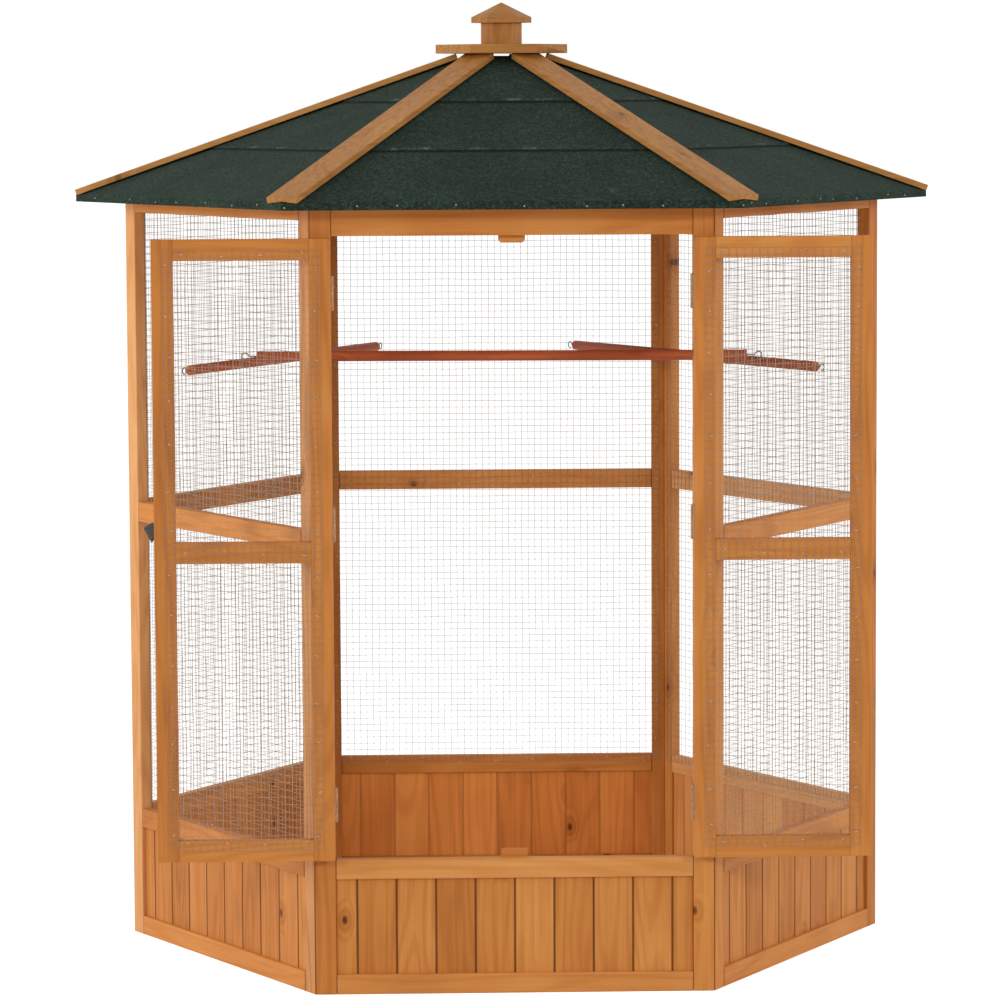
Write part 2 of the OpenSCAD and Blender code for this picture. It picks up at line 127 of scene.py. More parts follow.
def stained_timber(name, grain, turn, board, seed, stain, groove_shade=None, knotty=0.62, seam_shade=None):
    # grain is the way the fibres run in a frame turned about the cage's axis: up, level, slope
    # for boards laid along the eaves, or hip for boards that run out along the roof's corners.
    # Each board width gets a tone of its own, and stain lists its pale, middle, deep and knot
    # colours. The groove values tell how dark the painted shade in the joints between boards is
    # indoors and outdoors, and how far from the cage's axis outdoors begins. knotty is the share of
    # places with no knot, and the seam value is how far from the middle of a wall its timbers meet,
    # where a line of painted shade is drawn along the joint.
    mat, tree, shader, spot = new_material(name)
    if grain == "hip":
        flat = add(tree, "ShaderNodeSeparateXYZ", {0: spot})
        angle = add(tree, "ShaderNodeMath", {0: flat.outputs[1], 1: flat.outputs[0]}, operation="ARCTAN2")
        sixth = add(tree, "ShaderNodeMath", {0: angle.outputs[0], 1: 3 / math.pi}, operation="MULTIPLY")
        number = add(tree, "ShaderNodeMath", {0: sixth.outputs[0]}, operation="ROUND")
        turn = add(tree, "ShaderNodeMath", {0: number.outputs[0], 1: -math.pi / 3},
                   operation="MULTIPLY").outputs[0]
    else:
        turn = -turn
    local = add(tree, "ShaderNodeVectorRotate", {"Vector": spot, "Angle": turn}, rotation_type="Z_AXIS")
    axis = add(tree, "ShaderNodeSeparateXYZ", {0: local.outputs[0]}).outputs
    along, across, depth = {
        "up": (axis[2], axis[0], axis[1]),
        "level": (axis[0], axis[2], axis[1]),
        "slope": (axis[0], axis[1], axis[2]),
        "hip": (axis[0], axis[1], axis[2])}[grain]
    if grain == "hip":
        place = number
    else:
        width = add(tree, "ShaderNodeMath", {0: across, 1: board}, operation="DIVIDE")
        place = add(tree, "ShaderNodeMath", {0: width.outputs[0]}, operation="FLOOR")
    side = add(tree, "ShaderNodeMath", {0: axis[1], 1: 0.0}, operation="GREATER_THAN")
    mark = add(tree, "ShaderNodeMath", {0: side.outputs[0], 1: FAR_SIDE, 2: seed}, operation="MULTIPLY_ADD")
    which = add(tree, "ShaderNodeCombineXYZ", {0: place.outputs[0], 1: mark.outputs[0]})
    tone = add(tree, "ShaderNodeTexWhiteNoise", {"Vector": which.outputs[0]}, noise_dimensions="2D")
    slide = add(tree, "ShaderNodeMath", {0: tone.outputs[0], 1: CUT_ALONG, 2: along},
                operation="MULTIPLY_ADD")
    shift = add(tree, "ShaderNodeMath", {0: tone.outputs[0], 1: CUT_ACROSS, 2: across},
                operation="MULTIPLY_ADD")
    board_at = add(tree, "ShaderNodeCombineXYZ", {0: shift.outputs[0], 1: depth, 2: slide.outputs[0]})
    # growth rings are the contours of a slow noise
    slow = add(tree, "ShaderNodeVectorMath", {0: board_at.outputs[0], 1: RING}, operation="DIVIDE")
    swell = add(tree, "ShaderNodeTexNoise", {"Vector": slow.outputs[0], "Scale": 1.0, "Detail": 1.0})
    # knots are about 9 mm wide and 14 mm long, and the rings bend round them
    knot_at = add(tree, "ShaderNodeCombineXYZ", {0: shift.outputs[0], 1: slide.outputs[0]})
    knot_to = add(tree, "ShaderNodeVectorMath", {0: knot_at.outputs[0], 1: KNOT_GAP}, operation="DIVIDE")
    cell = add(tree, "ShaderNodeTexVoronoi", {"Vector": knot_to.outputs[0], "Scale": 1.0},
               voronoi_dimensions="2D")
    away = cell.outputs["Distance"]
    pick = add(tree, "ShaderNodeSeparateColor", {0: cell.outputs["Color"]})
    kept = add(tree, "ShaderNodeMath", {0: pick.outputs[0], 1: knotty}, operation="GREATER_THAN")
    core = add(tree, "ShaderNodeMapRange", {0: away, 1: HEART[0], 2: HEART[1]},
               interpolation_type="SMOOTHSTEP")
    knot = add(tree, "ShaderNodeMath", {0: core.outputs[0], 1: kept.outputs[0]}, operation="MULTIPLY")
    round_knot = add(tree, "ShaderNodeMapRange", {0: away, 1: BEND, 2: 0.0, 4: BEND_DEPTH},
                     interpolation_type="SMOOTHSTEP")
    bent = add(tree, "ShaderNodeMath", {0: round_knot.outputs[0], 1: kept.outputs[0], 2: swell.outputs[0]},
               operation="MULTIPLY_ADD")
    phase = add(tree, "ShaderNodeMath", {0: bent.outputs[0], 1: RING_PHASE}, operation="MULTIPLY")
    wave = add(tree, "ShaderNodeMath", {0: phase.outputs[0]}, operation="SINE")
    late = add(tree, "ShaderNodeMapRange", {0: wave.outputs[0], 1: -0.4, 2: 1.0},
               interpolation_type="SMOOTHSTEP")
    # fibres are finer than this on the real board, and are drawn 5 mm wide so that they show
    thread = add(tree, "ShaderNodeVectorMath", {0: board_at.outputs[0], 1: FIBRE}, operation="DIVIDE")
    fibre = add(tree, "ShaderNodeTexNoise", {"Vector": thread.outputs[0], "Scale": 1.0, "Detail": 3.0})
    cloud = add(tree, "ShaderNodeTexNoise", {
        "Vector": board_at.outputs[0], "Scale": 1 / BLOTCH, "Detail": 3.0})
    flame = add(tree, "ShaderNodeMapRange", {0: away, 1: FLAME[0], 2: FLAME[1], 4: FLAME_DEPTH},
                interpolation_type="SMOOTHSTEP")
    ringed = add(tree, "ShaderNodeMath", {0: late.outputs[0], 1: LATE_DEPTH, 2: BARE},
                 operation="MULTIPLY_ADD")
    fibred = add(tree, "ShaderNodeMath", {0: fibre.outputs[0], 1: FIBRE_DEPTH, 2: ringed.outputs[0]},
                 operation="MULTIPLY_ADD")
    blotched = add(tree, "ShaderNodeMath", {0: cloud.outputs[0], 1: BLOTCH_DEPTH, 2: fibred.outputs[0]},
                   operation="MULTIPLY_ADD")
    toned = add(tree, "ShaderNodeMath", {0: tone.outputs[0], 1: TONE_DEPTH, 2: blotched.outputs[0]},
                operation="MULTIPLY_ADD")
    flamed = add(tree, "ShaderNodeMath", {0: flame.outputs[0], 1: kept.outputs[0], 2: toned.outputs[0]},
                 operation="MULTIPLY_ADD")
    pale, middle, deep, darkest = [linear(code) for code in stain]
    ramp = add(tree, "ShaderNodeValToRGB", {0: flamed.outputs[0]})
    ramp.color_ramp.elements[0].color = pale
    ramp.color_ramp.elements[1].color = deep
    ramp.color_ramp.elements.new(0.5).color = middle
    tint = add(tree, "ShaderNodeMix", {0: knot.outputs[0], 6: ramp.outputs[0], 7: darkest}, data_type="RGBA")
    # painted shade in the joints between boards, darker on outer faces than on inner ones
    if groove_shade:
        indoors, outdoors, limit = groove_shade
        part = add(tree, "ShaderNodeMath", {0: width.outputs[0]}, operation="FRACT")
        off = add(tree, "ShaderNodeMath", {0: part.outputs[0], 1: 0.5}, operation="SUBTRACT")
        edge = add(tree, "ShaderNodeMath", {0: off.outputs[0]}, operation="ABSOLUTE")
        far = add(tree, "ShaderNodeMath", {0: axis[1]}, operation="ABSOLUTE")
        dark = add(tree, "ShaderNodeMapRange", {
            0: far.outputs[0], 1: limit - 0.001, 2: limit + 0.001, 3: indoors, 4: outdoors})
        joint = add(tree, "ShaderNodeMapRange", {
            0: edge.outputs[0], 1: 0.5 - GROOVE_SHADE_LINE[0] / board, 2: 0.5 - GROOVE_SHADE_LINE[1] / board,
            4: dark.outputs[0]})
        tint = add(tree, "ShaderNodeMix", {0: joint.outputs[0], 6: tint.outputs[2], 7: darkest},
                   data_type="RGBA")
    # a line of painted shade along the joint where a wall's timbers meet
    if seam_shade:
        out = add(tree, "ShaderNodeMath", {0: axis[0]}, operation="ABSOLUTE")
        line = add(tree, "ShaderNodeMapRange", {
            0: out.outputs[0], 1: seam_shade - SEAM_SHADE_LINE[0], 2: seam_shade - SEAM_SHADE_LINE[1], 4: SEAM_SHADE})
        tint = add(tree, "ShaderNodeMix", {0: line.outputs[0], 6: tint.outputs[2], 7: darkest},
                   data_type="RGBA")
    tree.links.new(tint.outputs[2], shader.inputs["Base Color"])
    shader.inputs["Specular IOR Level"].default_value = SHEEN
    gloss = add(tree, "ShaderNodeMapRange", {0: fibre.outputs[0], 1: 0.3, 2: 0.7, 3: SATIN[0], 4: SATIN[1]})
    tree.links.new(gloss.outputs[0], shader.inputs["Roughness"])
    relief = add(tree, "ShaderNodeBump", {"Height": fibred.outputs[0], "Strength": 0.35, "Distance": RELIEF})
    tree.links.new(relief.outputs[0], shader.inputs["Normal"])
    return mat


def finish_node(name, mat):
    for place in nodes[name].material_slots:
        place.material = mat


def ease_edges(name, width):
    # planed edges are sanded just enough to catch the light
    weld = nodes[name].modifiers.new("joined corners", "WELD")
    weld.merge_threshold = 0.00001
    bevel = nodes[name].modifiers.new("eased edges", "BEVEL")
    bevel.width = width
    bevel.segments = 2
    bevel.limit_method = "ANGLE"
    bevel.angle_limit = math.radians(25)


HONEY = ("#DB964E", "#C87D37", "#A35E24", "#6E3A17")
# a paler stain, as painted light on the stiles of a brightly lit corner
PAINTED_LIGHT_STILE = ("#E6AE74", "#D49357", "#8F5424", "#6E3A17")
# how far from a wall's middle its stiles meet at the mitres, where a line of painted shade is drawn
CORNER = 0.340
FRAME_EASE = 0.0016
# wider than a wall, so that each half of a wall counts as one board
HALF_WALL = 10.0
# walls that face opposite ways share a turn and a material, which gives the far one its own tones
stile_timber = [stained_timber("stained stile timber " + str(i), "up", TURN[WALLS[i]], HALF_WALL, seed,
                               HONEY, seam_shade=CORNER) for i, seed in enumerate((496, 4, 5))]
for i, wall in enumerate(WALLS):
    finish_node(wall + "_stiles", stile_timber[i % 3])
    ease_edges(wall + "_stiles", FRAME_EASE)
# the front left panel's stiles take this paler stain, its left stile paler than its right one; this
# is painted light for the bright light that falls on that corner
finish_node("front_left_stiles", stained_timber("painted light stile timber", "up", TURN["front_left"], HALF_WALL,
                                                seed=219, stain=PAINTED_LIGHT_STILE, seam_shade=CORNER))

# Wall rails: boards of the same stained softwood laid level between the stiles, with the door
# header and the two kick rails of the front panel among them. Their fibres run along each wall.
# a paler stain, as painted light on the inside of the back right wall
LIT_INSIDE_RAIL = ("#F2BC84", "#E4A466", "#BE7E44", "#74401B")
PALE_HONEY = ("#E2A05C", "#D08842", "#AE692E", "#74401B")
# how far from a wall's middle the rails end against the stiles, where a line of painted shade is drawn
RAIL_END = 0.304
RAIL_BAND = 0.16
rail_timber = [stained_timber("stained rail timber " + str(i), "level", TURN[WALLS[i]], RAIL_BAND, 11 + i,
                              HONEY, seam_shade=RAIL_END) for i in range(3)]
for i, wall in enumerate(WALLS[1:], 1):
    finish_node(wall + "_rails", rail_timber[i % 3])
    ease_edges(wall + "_rails", FRAME_EASE)
# the back right panel's rails take a paler stain than the rest, as painted light for the light that
# falls on the inside of that wall
finish_node("back_right_rails", stained_timber("painted light rail timber", "level", TURN["back_right"],
                                               RAIL_BAND, seed=13, stain=LIT_INSIDE_RAIL, seam_shade=RAIL_END))
finish_node("front_header", rail_timber[0])
ease_edges("front_header", FRAME_EASE)
finish_node("front_kick_rails", stained_timber("pale stained kick rail", "level", TURN["front"], RAIL_BAND,
                                               seed=45, stain=PALE_HONEY, seam_shade=RAIL_END))
ease_edges("front_kick_rails", FRAME_EASE)

# Kick slats: thin upright boards with chamfered edges that close the foot of each wall. They come
# from different planks, so each takes the stain in its own tone, and most of the knots are here.
SLAT = ("#DE9A50", "#C47A36", "#A15C22", "#5A2C10")
# paler stains, as painted light on the inside of the back right and back walls
LIT_INSIDE_SLAT = ("#F4B470", "#E19854", "#BC783C", "#5A2C10")
RED_LIT_SLAT = ("#F4A252", "#D78138", "#B16123", "#5A2C10")
SLAT_PITCH = 0.067
# the slats get painted shade in the grooves between them, darker on their outer faces than inner
SLAT_LOOK = {"groove_shade": (0.34, 0.72, 0.578), "knotty": 0.4}
slat_timber = [stained_timber("stained slat timber " + str(i), "up", TURN[WALLS[i]], SLAT_PITCH, 23 + i,
                              SLAT, **SLAT_LOOK) for i in range(3)]
for i, wall in enumerate(WALLS):
    finish_node(wall + "_slats", slat_timber[i % 3])
# the back right panel's slats take a paler stain, and the back panel's, which share the front's
# turn, a paler and redder one; the extra paleness of both is painted light for the light that
# falls on the inside of those walls
finish_node("back_right_slats", stained_timber("painted light slat timber", "up", TURN["back_right"],
                                               SLAT_PITCH, seed=25, stain=LIT_INSIDE_SLAT, **SLAT_LOOK))
finish_node("back_slats", stained_timber("painted light red slat timber", "up", TURN["front"], SLAT_PITCH,
                                         seed=23, stain=RED_LIT_SLAT, **SLAT_LOOK))

# Wire nets: sheets of square welded wire with a mesh of about 13 mm, dull zinc on steel, cut to
# lap over the frames and laid on their inside faces. A sheet never lies quite flat.
WALL_FACE = -0.588897
FRAME_DEPTH = 0.020
WALL_INSIDE = WALL_FACE + FRAME_DEPTH
WALL_NET = {"Width": 0.6348, "Height": 1.1168, "Columns": 50, "Rows": 90}
WALL_NET_FOOT = 0.2206
NET_LIFT = 0.0006
# how many points a wire bends at, how many ripples there are in a metre, and a wire's sides
UPRIGHT_POINTS = 44
LEVEL_POINTS = 26
RIPPLES = 11.0
WIRE_SIDES = 5


def new_group(name, sockets):
    tree = bpy.data.node_groups.new(name, "GeometryNodeTree")
    for label, kind in sockets.items():
        tree.interface.new_socket(label, in_out="INPUT", socket_type="NodeSocket" + kind)
    tree.interface.new_socket("Geometry", in_out="OUTPUT", socket_type="NodeSocketGeometry")
    return tree, add(tree, "NodeGroupInput").outputs


def grown(tree, name, values, points=None, facings=None):
    base = bpy.data.meshes.new(name)
    if points:
        base.from_pydata(points, [], [])
        held = base.attributes.new("facing", "FLOAT_VECTOR", "POINT")
        held.data.foreach_set("vector", [c for f in facings for c in f])
    piece = bpy.data.objects.new(name, base)
    scene.collection.objects.link(piece)
    grow = piece.modifiers.new("grow", "NODES")
    grow.node_group = tree
    for socket in tree.interface.items_tree:
        if socket.in_out == "INPUT" and socket.name in values:
            grow[socket.identifier] = values[socket.name]
    seen = piece.evaluated_get(bpy.context.evaluated_depsgraph_get())
    shaped = bpy.data.meshes.new_from_object(seen)
    piece.modifiers.remove(grow)
    piece.data = shaped
    return piece


def dull_metal(name, bright, dark, metallic, rough, grit):
    # a metal whose skin is mottled at the grit size, in metres
    mat, tree, shader, spot = new_material(name)
    patch = add(tree, "ShaderNodeTexNoise", {"Vector": spot, "Scale": 1 / grit, "Detail": 3.0})
    ramp = add(tree, "ShaderNodeValToRGB", {0: patch.outputs[0]})
    ramp.color_ramp.elements[0].position = 0.3
    ramp.color_ramp.elements[0].color = linear(dark)
    ramp.color_ramp.elements[1].position = 0.7
    ramp.color_ramp.elements[1].color = linear(bright)
    tree.links.new(ramp.outputs[0], shader.inputs["Base Color"])
    shader.inputs["Metallic"].default_value = metallic
    haze = add(tree, "ShaderNodeMapRange", {0: patch.outputs[0], 1: 0.3, 2: 0.7, 3: rough, 4: rough + 0.2})
    tree.links.new(haze.outputs[0], shader.inputs["Roughness"])
    return mat


net, given = new_group("welded net", {
    "Width": "Float", "Height": "Float", "Columns": "Int", "Rows": "Int", "Wire": "Float",
    "Ripple": "Float", "Place": "Vector", "Turn": "Float", "Finish": "Material"})
edge = add(net, "ShaderNodeMath", {0: given["Width"], 1: -0.5}, operation="MULTIPLY")
far = add(net, "ShaderNodeMath", {0: given["Width"], 1: 0.5}, operation="MULTIPLY")
left_end = add(net, "ShaderNodeCombineXYZ", {0: edge.outputs[0]})
right_end = add(net, "ShaderNodeCombineXYZ", {0: far.outputs[0]})
top_end = add(net, "ShaderNodeCombineXYZ", {2: given["Height"]})
column = add(net, "ShaderNodeMath", {0: given["Width"], 1: given["Columns"]}, operation="DIVIDE")
column_step = add(net, "ShaderNodeCombineXYZ", {0: column.outputs[0]})
columns = add(net, "ShaderNodeMath", {0: given["Columns"], 1: 1.0}, operation="ADD")
row = add(net, "ShaderNodeMath", {0: given["Height"], 1: given["Rows"]}, operation="DIVIDE")
row_step = add(net, "ShaderNodeCombineXYZ", {2: row.outputs[0]})
rows = add(net, "ShaderNodeMath", {0: given["Rows"], 1: 1.0}, operation="ADD")
behind = add(net, "ShaderNodeCombineXYZ", {1: given["Wire"]})
upright_feet = add(net, "GeometryNodeMeshLine", {
    "Count": columns.outputs[0], "Start Location": left_end.outputs[0], "Offset": column_step.outputs[0]})
level_ends = add(net, "GeometryNodeMeshLine", {
    "Count": rows.outputs[0], "Start Location": behind.outputs[0], "Offset": row_step.outputs[0]})
upright = add(net, "GeometryNodeCurvePrimitiveLine", {"End": top_end.outputs[0]})
level = add(net, "GeometryNodeCurvePrimitiveLine", {
    "Start": left_end.outputs[0], "End": right_end.outputs[0]})
upright_bent = add(net, "GeometryNodeResampleCurve", {"Curve": upright.outputs[0], "Count": UPRIGHT_POINTS})
level_bent = add(net, "GeometryNodeResampleCurve", {"Curve": level.outputs[0], "Count": LEVEL_POINTS})
uprights = add(net, "GeometryNodeInstanceOnPoints", {
    "Points": upright_feet.outputs[0], "Instance": upright_bent.outputs[0]})
levels = add(net, "GeometryNodeInstanceOnPoints", {
    "Points": level_ends.outputs[0], "Instance": level_bent.outputs[0]})
sheet = add(net, "GeometryNodeJoinGeometry", {0: uprights.outputs[0]})
net.links.new(levels.outputs[0], sheet.inputs[0])
wires = add(net, "GeometryNodeRealizeInstances", {0: sheet.outputs[0]})
here = add(net, "GeometryNodeInputPosition")
wander = add(net, "ShaderNodeTexNoise", {
    "Vector": here.outputs[0], "W": given["Turn"], "Scale": RIPPLES, "Detail": 3.0}, noise_dimensions="4D")
swing = add(net, "ShaderNodeVectorMath", {0: wander.outputs[1], 1: (0.5, 0.5, 0.5)}, operation="SUBTRACT")
# a net can't ripple out through the frame that it lies on
inward = add(net, "ShaderNodeVectorMath", {0: swing.outputs[0], 1: (-1, 0, -1)}, operation="MAXIMUM")
ripple = add(net, "ShaderNodeVectorMath", {0: inward.outputs[0]}, operation="SCALE")
net.links.new(given["Ripple"], ripple.inputs["Scale"])
rippled = add(net, "GeometryNodeSetPosition", {"Geometry": wires.outputs[0], "Offset": ripple.outputs[0]})
radius = add(net, "ShaderNodeMath", {0: given["Wire"], 1: 0.5}, operation="MULTIPLY")
gauge = add(net, "GeometryNodeCurvePrimitiveCircle", {"Resolution": WIRE_SIDES, "Radius": radius.outputs[0]})
drawn = add(net, "GeometryNodeCurveToMesh", {
    "Curve": rippled.outputs[0], "Profile Curve": gauge.outputs[0], "Fill Caps": True})
placed = add(net, "GeometryNodeTransform", {"Geometry": drawn.outputs[0], "Translation": given["Place"]})
turning = add(net, "ShaderNodeCombineXYZ", {2: given["Turn"]})
turned = add(net, "GeometryNodeTransform", {"Geometry": placed.outputs[0], "Rotation": turning.outputs[0]})
whole = add(net, "GeometryNodeRealizeInstances", {0: turned.outputs[0]})
zinced = add(net, "GeometryNodeSetMaterial", {"Geometry": whole.outputs[0], "Material": given["Finish"]})
add(net, "NodeGroupOutput", {0: zinced.outputs[0]})

# grey zinc tinted warm, as a painted reflection of the stained wood round the wires
wire_zinc_and_reflection = dull_metal("dull zinc wire with painted wood reflection", "#B09A84", "#97826D", metallic=0.2, rough=0.5, grit=0.004)
NET_WIRE = {"Wire": 0.0008, "Ripple": 0.005, "Finish": wire_zinc_and_reflection}
for wall in WALLS[1:]:
    piece = grown(net, wall + "_wire_net", NET_WIRE | WALL_NET | {
        "Place": (0, WALL_INSIDE + NET_LIFT, WALL_NET_FOOT), "Turn": TURN[wall]})
    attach(piece, "cage")
    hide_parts(wall + "_mesh")

# Doors: two mortised frames of three rails each, stained like the walls. They stand open by half
# a turn, so their inside faces look forward, with their wire nets in front of the timber.
DOOR_INSIDE = -0.616397
DOOR_NET = {"Width": 0.2621, "Height": 1.0128, "Columns": 20, "Rows": 78}
DOOR_NET_FOOT = 0.2536
# a door's middle in a frame that is turned by half a turn, as the open doors are
DOOR_MIDDLE = {"left": 0.45365, "right": -0.45365}
door_upright = stained_timber("stained door stile timber", "up", 0.0, board=0.25, seed=31, stain=HONEY)
door_level = {}
for side, seed in (("left", 320), ("right", 37)):
    door_level[side] = stained_timber("stained " + side + " door rail timber", "level", 0.0, board=0.20,
                                      seed=seed, stain=HONEY)
    finish_node(side + "_door_stiles", door_upright)
    ease_edges(side + "_door_stiles", FRAME_EASE)
    finish_node(side + "_door_rails", door_level[side])
    ease_edges(side + "_door_rails", FRAME_EASE)
    piece = grown(net, side + "_door_wire_net", NET_WIRE | DOOR_NET | {
        "Place": (DOOR_MIDDLE[side], -DOOR_INSIDE + NET_LIFT, DOOR_NET_FOOT), "Turn": math.pi})
    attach(piece, side + "_door")
    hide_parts(side + "_door_mesh")

# Door stops: two small softwood blocks behind the header and the sill, one with clipped corners,
# that the shut doors rest against.
finish_node("door_stops", door_level["right"])
ease_edges("door_stops", 0.001)

# Staples: bright wire staples that hold the nets to the frames, shot in by hand at about 75 mm,
# so they sit at odd angles. Each arches over the net's two layers of wire into the timber.
STAPLE_GAP = 0.075
# how far a staple may sit off its place, sideways and up or down, and how far it may lean
STAPLE_SIDEWAYS = 0.003
STAPLE_UP = 0.008
STAPLE_LEAN = 0.9
# how far out a frame's upright rows are and where they end, then the level rows' heights and reach
WALL_ROWS = (0.311, (0.26, 1.30), (0.2263, 0.774, 1.326), 0.285)
DOOR_ROWS = (0.123, (0.285, 1.235), (0.2625, 0.759, 1.2575), 0.10)
staple, given = new_group("wire staple", {
    "Geometry": "Geometry", "Span": "Float", "Rise": "Float", "Wire": "Float", "Finish": "Material"})
reach = add(staple, "ShaderNodeMath", {0: given["Span"], 1: 0.5}, operation="MULTIPLY")
squat = add(staple, "ShaderNodeMath", {0: given["Rise"], 1: reach.outputs[0]}, operation="DIVIDE")
hoop = add(staple, "GeometryNodeCurveArc", {
    "Resolution": 7, "Radius": reach.outputs[0], "Start Angle": 0.0, "Sweep Angle": math.pi}, mode="RADIUS")
squash = add(staple, "ShaderNodeCombineXYZ", {0: 1.0, 1: squat.outputs[0], 2: 1.0})
pressed = add(staple, "GeometryNodeTransform", {"Geometry": hoop.outputs[0], "Scale": squash.outputs[0]})
radius = add(staple, "ShaderNodeMath", {0: given["Wire"], 1: 0.5}, operation="MULTIPLY")
gauge = add(staple, "GeometryNodeCurvePrimitiveCircle", {
    "Resolution": WIRE_SIDES, "Radius": radius.outputs[0]})
drawn = add(staple, "GeometryNodeCurveToMesh", {
    "Curve": pressed.outputs[0], "Profile Curve": gauge.outputs[0], "Fill Caps": True})
facing = add(staple, "GeometryNodeInputNamedAttribute", {"Name": "facing"}, data_type="FLOAT_VECTOR")
driven = add(staple, "GeometryNodeInstanceOnPoints", {
    "Points": given["Geometry"], "Instance": drawn.outputs[0], "Rotation": facing.outputs["Attribute"]})
whole = add(staple, "GeometryNodeRealizeInstances", {0: driven.outputs[0]})
zinced = add(staple, "GeometryNodeSetMaterial", {"Geometry": whole.outputs[0], "Material": given["Finish"]})
add(staple, "NodeGroupOutput", {0: zinced.outputs[0]})

staple_steel = dull_metal("bright staple steel", "#E6E3DC", "#C6C3BA", metallic=0.3, rough=0.35, grit=0.003)
STAPLE = {"Span": 0.0048, "Rise": 0.0020, "Wire": 0.0009, "Finish": staple_steel}
hand = random.Random(7)


def staple_row(points, facings, start, end, face, turn, middle):
    # a row of staples on a face, in a frame turned about the cage's axis
    length = math.hypot(end[0] - start[0], end[1] - start[1])
    count = max(2, round(length / STAPLE_GAP) + 1)
    for n in range(count):
        t = n / (count - 1)
        x = middle + start[0] + (end[0] - start[0]) * t + hand.uniform(-STAPLE_SIDEWAYS, STAPLE_SIDEWAYS)
        z = start[1] + (end[1] - start[1]) * t + hand.uniform(-STAPLE_UP, STAPLE_UP)
        points.append(Matrix.Rotation(turn, 3, "Z") @ Vector((x, face, z)))
        facings.append((0, hand.uniform(-STAPLE_LEAN, STAPLE_LEAN), turn))


def staple_frame(points, facings, rows, face, turn, middle):
    out, (foot, head), heights, span = rows
    for x in (-out, out):
        staple_row(points, facings, (x, foot), (x, head), face, turn, middle)
    for z in heights:
        staple_row(points, facings, (-span, z), (span, z), face, turn, middle)


points, facings = [], []
for wall in WALLS[1:]:
    staple_frame(points, facings, WALL_ROWS, WALL_INSIDE, TURN[wall], 0)
piece = grown(staple, "wall_staples", STAPLE, points, facings)
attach(piece, "cage")
for side in ("left", "right"):
    points, facings = [], []
    staple_frame(points, facings, DOOR_ROWS, -DOOR_INSIDE, math.pi, DOOR_MIDDLE[side])
    piece = grown(staple, side + "_door_staples", STAPLE, points, facings)
    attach(piece, side + "_door")

# Hinges: three plated pressed steel butt hinges to a door, let in between the door and its post,
# with a warm brown colour that is a painted reflection of the stained wood round them. Their
# knuckles and pins stand just in front of the wall.
hinge_painted_reflection = dull_metal("hinge steel with painted wood reflection", "#C0956C", "#8E6A48", metallic=0.3, rough=0.4, grit=0.006)
pin_steel = dull_metal("plain pin steel", "#9A9891", "#6E6C67", metallic=0.9, rough=0.32, grit=0.004)
for side in ("left", "right"):
    finish_node(side + "_post_leaves", hinge_painted_reflection)
    finish_node(side + "_door_leaves", hinge_painted_reflection)
    finish_node(side + "_hinge_pins", pin_steel)

# Turn button: a small black lacquered casting with four blunt corners on the left door's outer
# face, full in the middle and thin at the rim. It turns on one round-headed screw.
BUTTON_PIVOT = Vector((-0.5943, -0.5956, 0.801))
BUTTON_OUTLINE = [(-0.009, 0.0045), (0.014, 0.009), (0.028, 0.0), (0.014, -0.026)]
BUTTON_MIDDLE = Vector((0.009, -0.003))
BUTTON_BLUNT = 0.003
BUTTON_THICK = 0.0020
# from the back face to the front one: how wide the casting is, and how far from its middle plane
BUTTON_DOME = ((0.0, -1.0), (0.45, -0.96), (0.80, -0.75), (0.95, -0.4), (1.0, 0.0),
               (0.95, 0.4), (0.80, 0.75), (0.45, 0.96), (0.0, 1.0))
CURVE_STEPS = 5
lacquer = dull_metal("black lacquered casting", "#4B4F4D", "#2B2D2E", metallic=0.3, rough=0.3, grit=0.003)


def blunt_outline(corners, cut):
    loop = []
    for n, corner in enumerate(corners):
        here = Vector(corner)
        before = Vector(corners[n - 1])
        after = Vector(corners[(n + 1) % len(corners)])
        start = here + (before - here).normalized() * cut
        end = here + (after - here).normalized() * cut
        for k in range(CURVE_STEPS + 1):
            t = k / CURVE_STEPS
            loop.append(start * (1 - t) ** 2 + here * 2 * t * (1 - t) + end * t ** 2)
    return loop


outline = blunt_outline(BUTTON_OUTLINE, BUTTON_BLUNT)
shape = bmesh.new()
rings = []
for scale, lift in BUTTON_DOME:
    ring = []
    for p in (outline if scale else outline[:1]):
        q = BUTTON_MIDDLE + (p - BUTTON_MIDDLE) * scale
        spot = BUTTON_PIVOT + Vector((-q.x, lift * BUTTON_THICK / 2, q.y))
        ring.append(shape.verts.new(spot))
    rings.append(ring)
for low, high in zip(rings, rings[1:]):
    for n in range(len(outline)):
        m = (n + 1) % len(outline)
        corners = [low[n % len(low)], low[m % len(low)], high[m % len(high)], high[n % len(high)]]
        shape.faces.new(list(dict.fromkeys(corners)))
bmesh.ops.recalc_face_normals(shape, faces=shape.faces)
for face in shape.faces:
    face.smooth = True
mesh = bpy.data.meshes.new("turn_button_casting")
shape.to_mesh(mesh)
shape.free()
mesh.materials.append(lacquer)
piece = bpy.data.objects.new("turn_button_casting", mesh)
scene.collection.objects.link(piece)
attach(piece, "latch")
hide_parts("turn_button")
finish_node("turn_button_screw", pin_steel)

# Roof boards: thin sawn boards of the same wood laid along the eaves, six faces that meet on the
# hips. Only their undersides show, because the felt is folded down over them at the eaves.
DECK = ("#CF8F4F", "#B97839", "#935726", "#5A2E14")
for i, wall in enumerate(WALLS):
    boards = stained_timber("roof boards " + wall, "slope", TURN[wall], board=0.09, seed=41 + i, stain=DECK)
    finish_node("roof_boards_" + wall, boards)

# Roof felt: bitumen felt with crushed green mineral pressed into it, in three lapped courses on
# each face. The grit is coarse and quite dull and rubbed pale here and there. Below each lap a
# line of painted shadow is drawn, and just above it the felt is paler in short streaks.
FELT = ("#141D18", "#24342A", "#3F4F44")
# the colour of the painted shadow below each lap
FELT_LAP_SHADOW = "#0C120E"
FELT_RUBBED = "#6F7B70"
